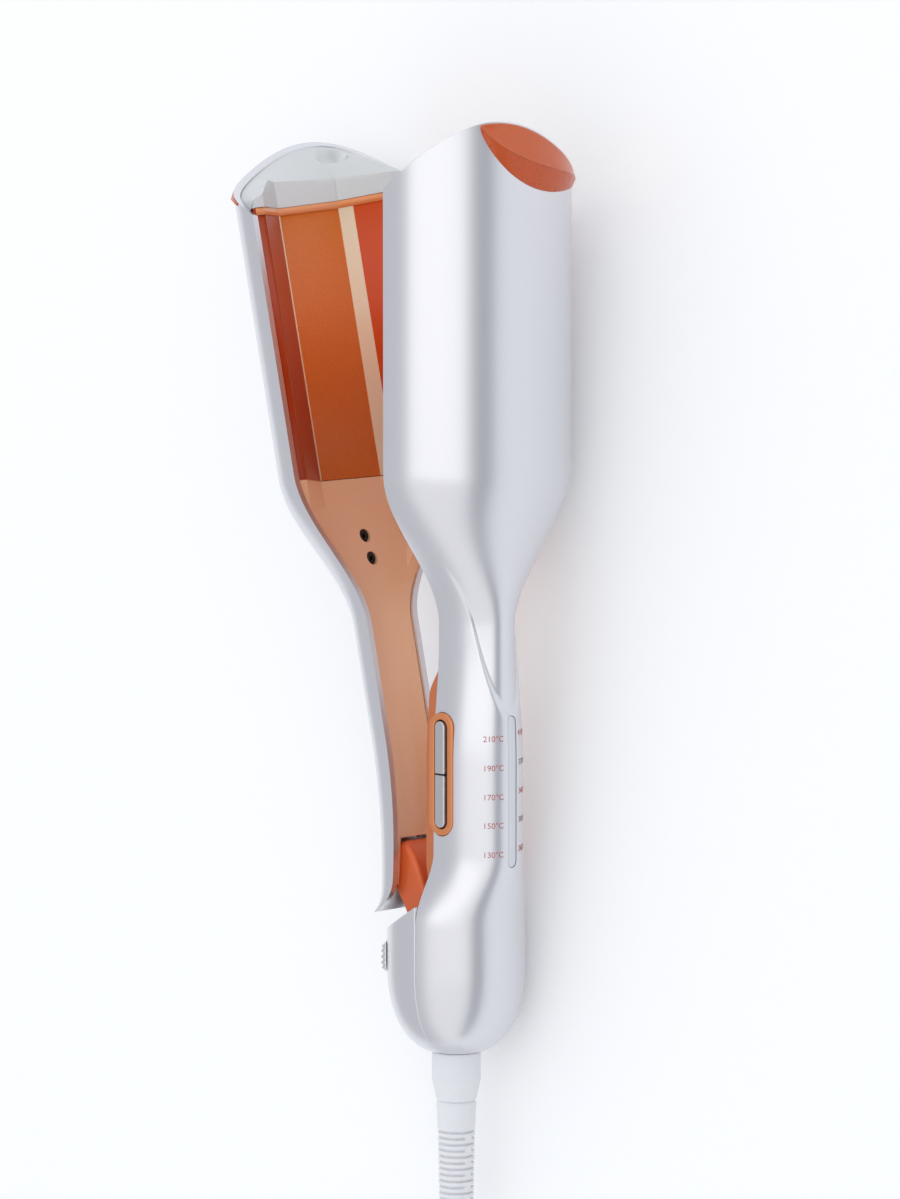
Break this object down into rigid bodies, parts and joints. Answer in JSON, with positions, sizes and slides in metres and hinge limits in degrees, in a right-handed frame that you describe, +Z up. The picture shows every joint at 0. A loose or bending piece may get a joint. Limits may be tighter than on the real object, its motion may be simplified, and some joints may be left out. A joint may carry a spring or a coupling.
{
  "type": "hair waver",
  "caption": "Hand-held deep wave hair waver with a sprung trough and ridge jaw, keys on the handle, a temperature scale and a corded swivel.",
  "frame": {"origin": "centre of the resting tool's footprint, on the table", "axes": "+Y runs along the tool from the cord end to the tips, +Z is up with the keys on top, +X points out of the fixed arm"},
  "size_m": [0.1414, 0.5304, 0.0846],
  "materials": {
    "silver_shell": "satin metallic paint",
    "copper_tray": "satin metallic orange",
    "copper_plate": "metallic ceramic coating",
    "orange_trim": "gloss",
    "steel_bits": "bright",
    "dark_moulding": "matte",
    "nylon": "matte",
    "board_laminate": "solder mask",
    "diffuser": "translucent",
    "brass_contacts": "plated",
    "cord_jacket": "matte",
    "lead_wire": "enamelled"
  },
  "bodies": {
    "fixed_arm": {"base_shell": "silver_shell", "rear_cover": "silver_shell", "base_frame": "copper_tray", "base_rails": "copper_tray", "base_end_cap": "silver_shell", "base_accent": "orange_trim", "base_plate": "copper_plate", "base_heater": "nylon", "base_heater_clip": "steel_bits", "base_sensor": "lead_wire", "base_leads": "lead_wire", "button_bezel": "orange_trim", "tact_switches": "dark_moulding", "circuit_board": "board_laminate", "board_parts": "dark_moulding", "display_board": "board_laminate", "display_lamps": "diffuser", "scale_window": "diffuser", "hinge_bracket": "dark_moulding", "hinge_pin": "steel_bits", "hinge_washers": "nylon", "return_spring": "steel_bits", "lock_detent": "steel_bits", "hinge_screws": "steel_bits", "board_screws": "steel_bits", "swivel_socket": "nylon", "swivel_brushes": "brass_contacts", "cord": "cord_jacket", "cord_coil": "cord_jacket", "cord_tail": "cord_jacket", "cord_tie": "dark_moulding", "plug_body": "cord_jacket", "plug_pins": "brass_contacts"},
    "lever_arm": {"lever_shell": "silver_shell", "lever_frame": "copper_tray", "lever_rails": "copper_tray", "lever_end_cap": "silver_shell", "lever_accent": "orange_trim", "lever_plate": "copper_plate", "lever_heater": "nylon", "lever_heater_clip": "steel_bits", "lever_sensor": "lead_wire", "lever_leads": "lead_wire", "lever_knuckle": "copper_tray", "lever_screws": "steel_bits"},
    "key_raise": {"key_up": "silver_shell"},
    "key_lower": {"key_down": "silver_shell"},
    "lock": {"lock_slider": "silver_shell"},
    "swivel": {"swivel_rings": "brass_contacts", "swivel_collar": "cord_jacket", "strain_relief": "cord_jacket"}
  },
  "joints": [
    {"name": "jaw", "type": "hinge", "parent": "fixed_arm", "child": "lever_arm", "pos_m": [0.0181, -0.08745, 0.02436], "axis": [0, 0.0876, -0.9962], "range_deg": [0, 12.4], "stiffness_Nm_per_rad": 0.15, "springref_deg": -8.59},
    {"name": "key_raise_press", "type": "slide", "parent": "fixed_arm", "child": "key_raise", "axis": [0, 0.0876, -0.9962], "range_m": [0, 0.0006], "stiffness_N_per_m": 400},
    {"name": "key_lower_press", "type": "slide", "parent": "fixed_arm", "child": "key_lower", "axis": [0, 0.0876, -0.9962], "range_m": [0, 0.0006], "stiffness_N_per_m": 400},
    {"name": "jaw_lock_slide", "type": "slide", "parent": "fixed_arm", "child": "lock", "axis": [0, -0.9962, -0.0876], "range_m": [0, 0.005]},
    {"name": "cord_swivel", "type": "hinge", "parent": "fixed_arm", "child": "swivel", "pos_m": [0.0266, -0.13228, 0.02042], "axis": [0, 0.9962, 0.0876], "continuous": true}
  ]
}
